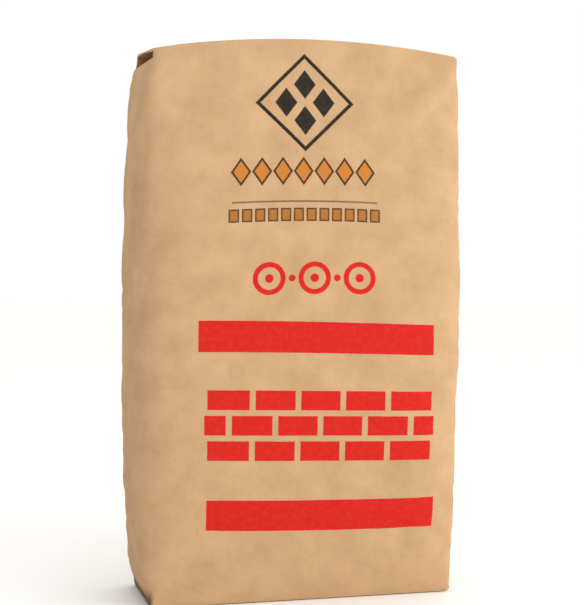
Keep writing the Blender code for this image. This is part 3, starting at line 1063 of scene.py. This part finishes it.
wander = add_node(tree, "TexNoise", {0: in_mm, 2: WAVES_PER_MM, 3: 3.0, 4: 0.6})
wander = add_node(tree, "Math", {0: wander, 1: 0.5}, operation="SUBTRACT")
wander = add_node(tree, "Math", {0: wander, 1: RAGGED_MM * 2}, operation="MULTIPLY")
film = add_node(tree, "TexNoise", {0: in_mm, 2: FILM_PER_MM, 3: 4.0, 4: 0.7})
film = add_node(tree, "MapRange", {0: film, 1: FILM_THIN, 2: FILM_FULL, 3: FILM_COVER, 4: 1.0})
inked = 0.0
for shape, hex_colour, cover in INKS:
    edge = add_node(tree, "Math", {0: shape, 1: wander}, operation="ADD")
    mask = add_node(tree, "MapRange", {0: edge, 1: -EDGE_MM, 2: EDGE_MM, 3: cover, 4: 0.0})
    mask = add_node(tree, "Math", {0: mask, 1: film}, operation="MULTIPLY")
    colour = add_node(tree, "Mix", {0: mask, 6: colour, 7: linear(hex_colour)}, data_type="RGBA").outputs[2]
    inked = add_node(tree, "Math", {0: inked, 1: mask}, operation="MAXIMUM")
rough = add_node(tree, "MapRange", {0: inked, 1: 0.0, 2: 1.0, 3: PAPER_ROUGHNESS, 4: INK_ROUGHNESS})
tree.links.new(rough.outputs[0], shader.inputs["Roughness"])
print("printed with", len(INKS), "inks")

# %% [markdown]
# The lowest two centimetres of the left side are darkened with painted shade, for the shadow where that
# corner stands on the floor. The painted shade fades upwards, with a ragged edge.

# %% Painted shade at the lower left corner
CORNER_SHADE_COLOUR, CORNER_SHADE_COVER = "#5f4426", 0.85
CORNER_SHADE_UP = 0.020
CORNER_SHADE_FULL_SHARE = 0.35
CORNER_SHADE_RAGGED = 0.006
RAGS_PER_METRE = 120.0
CORNER_SHADE_FULL_X, CORNER_SHADE_END_X = -0.1812, -0.1770

on_sack = add_node(tree, "TexCoord").outputs["Object"]
where = add_node(tree, "SeparateXYZ", {0: on_sack}).outputs
ragged = add_node(tree, "TexNoise", {0: on_sack, 2: RAGS_PER_METRE, 3: 3.0})
ragged = add_node(tree, "Math", {0: ragged, 1: CORNER_SHADE_RAGGED}, operation="MULTIPLY")
up = add_node(tree, "Math", {0: where[2], 1: ragged}, operation="SUBTRACT")
low_down = add_node(tree, "MapRange", {0: up, 1: CORNER_SHADE_UP * CORNER_SHADE_FULL_SHARE, 2: CORNER_SHADE_UP, 3: 1.0, 4: 0.0})
far_left = add_node(tree, "MapRange", {0: where[0], 1: CORNER_SHADE_FULL_X, 2: CORNER_SHADE_END_X, 3: CORNER_SHADE_COVER, 4: 0.0})
# Painted shade: how strongly the lowest part of the left side is darkened.
corner_shade = add_node(tree, "Math", {0: low_down, 1: far_left}, operation="MULTIPLY")
colour = add_node(tree, "Mix", {0: corner_shade, 6: colour, 7: linear(CORNER_SHADE_COLOUR)}, data_type="RGBA").outputs[2]
give_surface(tree, shader, colour, paper_height, KRAFT_BUMP)
print("printed kraft has", len(tree.nodes), "nodes")

# %% [markdown]
# ## Cement
# Grey powder that has settled and been pressed: finely grained, with soft lumps, and completely dull. Real
# cement is as fine as flour, so its grain is drawn as coarse as a millimetre, to show at all.

# %% Cement powder
CEMENT_ROUGHNESS = 0.95
CEMENT_BUMP = 0.5
GRAINS_PER_METRE, LUMPS_PER_METRE = 900.0, 60.0
cement, cement_tree, cement_shader = new_material("cement powder", CEMENT_ROUGHNESS)
grain_at = add_node(cement_tree, "TexCoord").outputs["Object"]
grain = add_node(cement_tree, "TexNoise", {0: grain_at, 2: GRAINS_PER_METRE, 3: 3.0})
lumps = add_node(cement_tree, "TexNoise", {0: grain_at, 2: LUMPS_PER_METRE, 3: 4.0})
greys = {6: linear("#7f7e79"), 7: linear("#98968f")}
cement_colour = add_node(cement_tree, "Mix", {0: lumps, **greys}, data_type="RGBA").outputs[2]
cement_height = add_node(cement_tree, "Math", {0: grain, 1: lumps}, operation="ADD")
give_surface(cement_tree, cement_shader, cement_colour, cement_height, CEMENT_BUMP)
print("cement has", len(cement_tree.nodes), "nodes")

# %% [markdown]
# ## Giving each piece its finish
# The sack's slot inside the mouth is its inner ply, and it has a darker material of its own: painted shade,
# standing in for the shadow inside the slot.
# Its faces are found by their place between the slot's floor and its roof, and by the way they face. The thin
# slice at the lower corner is found in the same way; its darker material is painted shade, for the shadow by
# the floor.

# %% Finishes
BELOW_FLOOR = 0.0006
BESIDE_MOUTH = 0.0004
OUTSIDE_MOUTH, INSIDE_MOUTH = 0.002, 0.001
FACES_LEFT, FACES_UP, FACES_DOWN = -0.75, 0.3, -0.5
ON_SLICE, FACES_SLICE = -0.0008, 0.97


def in_mouth(face):
    """True for the faces of the slot, but not for what is left of the side's own outer face."""
    x, y, z = face.center
    slot_floor = mouth_root.z - (mouth_root.x - x) * MOUTH_FALL - BELOW_FLOOR
    slot_roof = SACK_TOP - crown_drop(x, y) - MOUTH_LIP / 2
    across = LEFT_END - OUTSIDE_MOUTH < x < mouth_root.x + INSIDE_MOUTH
    inside = across and abs(y) < MOUTH_HALF_LENGTH + BESIDE_MOUTH and slot_floor < z < slot_roof
    turned = face.normal.x > FACES_LEFT or not FACES_DOWN <= face.normal.z <= FACES_UP
    return inside and turned


def on_slice(face):
    """True for the face that the cut left at the lower corner."""
    return face.normal.dot(DOWN_LEFT) > FACES_SLICE and (face.center - low_corner).dot(DOWN_LEFT) > ON_SLICE


def finish(obj, *materials):
    """Gives obj these materials, the first of them all over."""
    obj.data.materials.clear()
    for material in materials:
        obj.data.materials.append(material)


finish(sack, kraft, inner_ply_painted_shade, lower_corner_painted_shade)
for number, rule in ((1, in_mouth), (2, on_slice)):
    found = [face for face in sack.data.polygons if rule(face)]
    for face in found:
        face.material_index = number
    print(len(found), "faces are", sack.data.materials[number].name)
for name, layer in layers.items():
    finish(layer, patch_paper if "strip" in name else flap_paper)
finish(sleeve, sleeve_paper)
finish(powder, cement)

# %% [markdown]
# ## Floor
# A pale floor, as in a product picture. It lies a hair below the sack, because the layers pasted on the
# bottom end are a few plies thick.

# %% Floor
FLOOR_SIZE = 16
FLOOR_BELOW = 0.0003
FLOOR_ROUGHNESS = 0.9
bpy.ops.object.select_all(action="DESELECT")
bpy.ops.mesh.primitive_plane_add(size=FLOOR_SIZE, location=(0, 0, -FLOOR_BELOW))
floor = bpy.context.object
floor.name = "floor"
settle(floor)
studio_floor, _, floor_shader = new_material("studio floor", FLOOR_ROUGHNESS)
floor_shader.inputs["Base Color"].default_value = linear("#f7f7f5")
floor.data.materials.append(studio_floor)
print("floor", FLOOR_SIZE, "m wide")

# %% [markdown]
# ## Light
# The light comes from a white surround, a little dimmer on the left, so that the narrow side falls off
# softly. A large soft box at the upper right gives the front its slow change from left to right, and a soft
# light from above keeps the floor nearly white with only a faint shadow. A small card at the upper left
# catches the top of the narrow side.

# %% Light
SURROUND_LEFT, SURROUND_RIGHT = 0.10, 1.0
DIMMEST_AT, BRIGHTEST_AT = -1.0, 0.05
BOX_AT, BOX_AIM = (1.15, -1.10, 0.75), (0.05, 0, 0.40)
BOX_WATTS, BOX_SIZE, BOX_COLOUR = 8.0, 0.9, (1.0, 0.985, 0.96)
CARD_AT, CARD_AIM = (-0.75, -0.30, 0.98), (-0.19, 0, 0.60)
CARD_WATTS, CARD_SIZE = 0.8, 0.35
OVERHEAD_AT, OVERHEAD_STRENGTH, OVERHEAD_SPREAD = (0, 0, 3), 0.9, math.radians(60)

world = bpy.data.worlds.new("white surround")
bpy.context.scene.world = world
world.use_nodes = True
sky = world.node_tree
direction = add_node(sky, "TexCoord").outputs["Generated"]
sideways = add_node(sky, "SeparateXYZ", {0: direction})
grade = add_node(
    sky, "MapRange", {0: sideways, 1: DIMMEST_AT, 2: BRIGHTEST_AT, 3: SURROUND_LEFT, 4: SURROUND_RIGHT}
)
sky.links.new(grade.outputs[0], sky.nodes["Background"].inputs["Strength"])
sky.nodes["Background"].inputs["Color"].default_value = (1, 1, 1, 1)


def add_light(kind, name, at, towards, power, **settings):
    """Adds a light at a place, turned towards another."""
    lamp = bpy.data.lights.new(name, kind)
    lamp.energy = power
    for key, value in settings.items():
        setattr(lamp, key, value)
    holder = bpy.data.objects.new(name, lamp)
    bpy.context.scene.collection.objects.link(holder)
    holder.location = at
    holder.rotation_euler = (Vector(towards) - Vector(at)).to_track_quat("-Z", "Y").to_euler()


add_light("AREA", "soft box", BOX_AT, BOX_AIM, BOX_WATTS, size=BOX_SIZE, color=BOX_COLOUR)
add_light("AREA", "left card", CARD_AT, CARD_AIM, CARD_WATTS, size=CARD_SIZE)
add_light("SUN", "overhead light", OVERHEAD_AT, (0, 0, 0), OVERHEAD_STRENGTH, angle=OVERHEAD_SPREAD)
bpy.context.scene.view_settings.view_transform = "Standard"
print("lights set")
